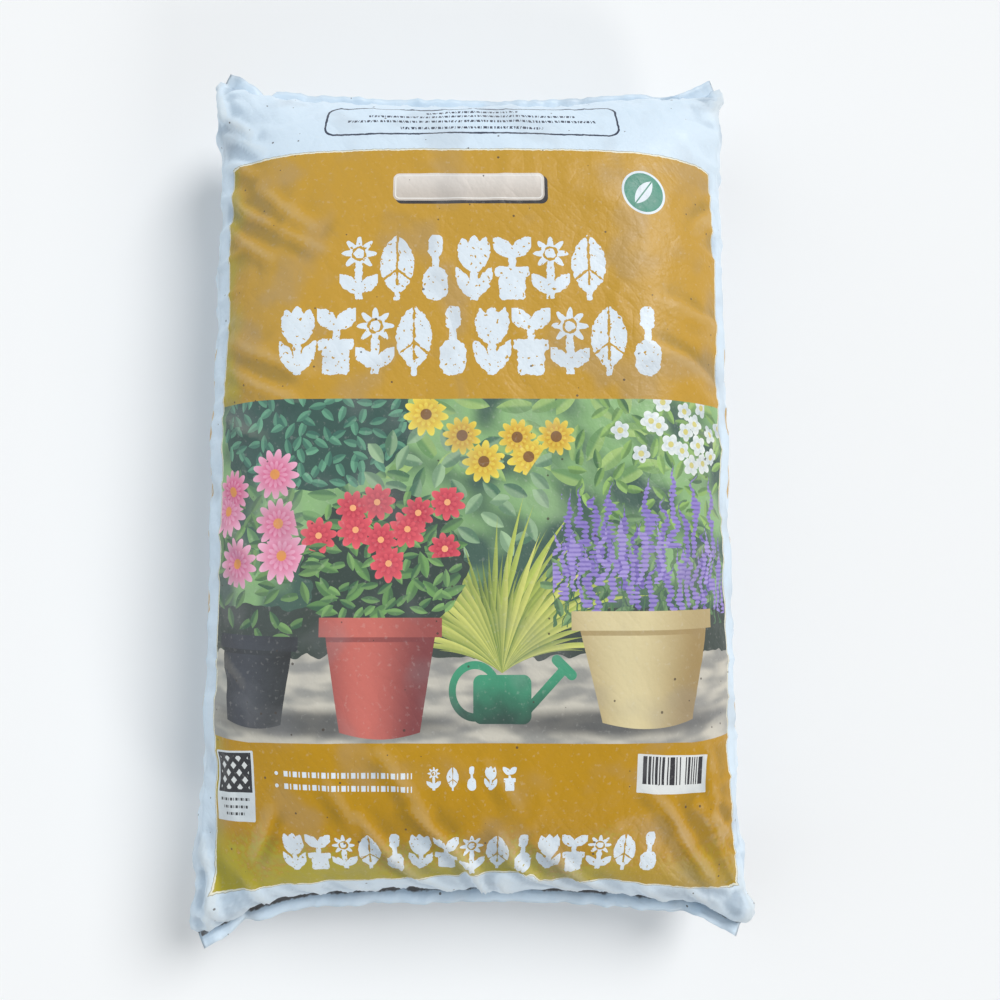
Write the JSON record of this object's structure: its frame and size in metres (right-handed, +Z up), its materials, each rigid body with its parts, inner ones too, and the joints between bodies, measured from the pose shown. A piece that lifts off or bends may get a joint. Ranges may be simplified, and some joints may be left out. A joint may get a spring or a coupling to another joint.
{
  "type": "compost bag",
  "caption": "Filled, heat-sealed compost bag of printed plastic film with side gussets, welded end fins and corner ears, lying on its back.",
  "frame": {"origin": "on the floor, under the middle of the bag's bounding box", "axes": "+X across the bag to the reader's right, +Y along the bag towards its top end, +Z up out of the printed front"},
  "size_m": [0.3968, 0.633, 0.13],
  "materials": {
    "film": "printed white polyethylene film, soft satin gloss"
  },
  "bodies": {
    "root": {"bag": "film"}
  },
  "joints": []
}
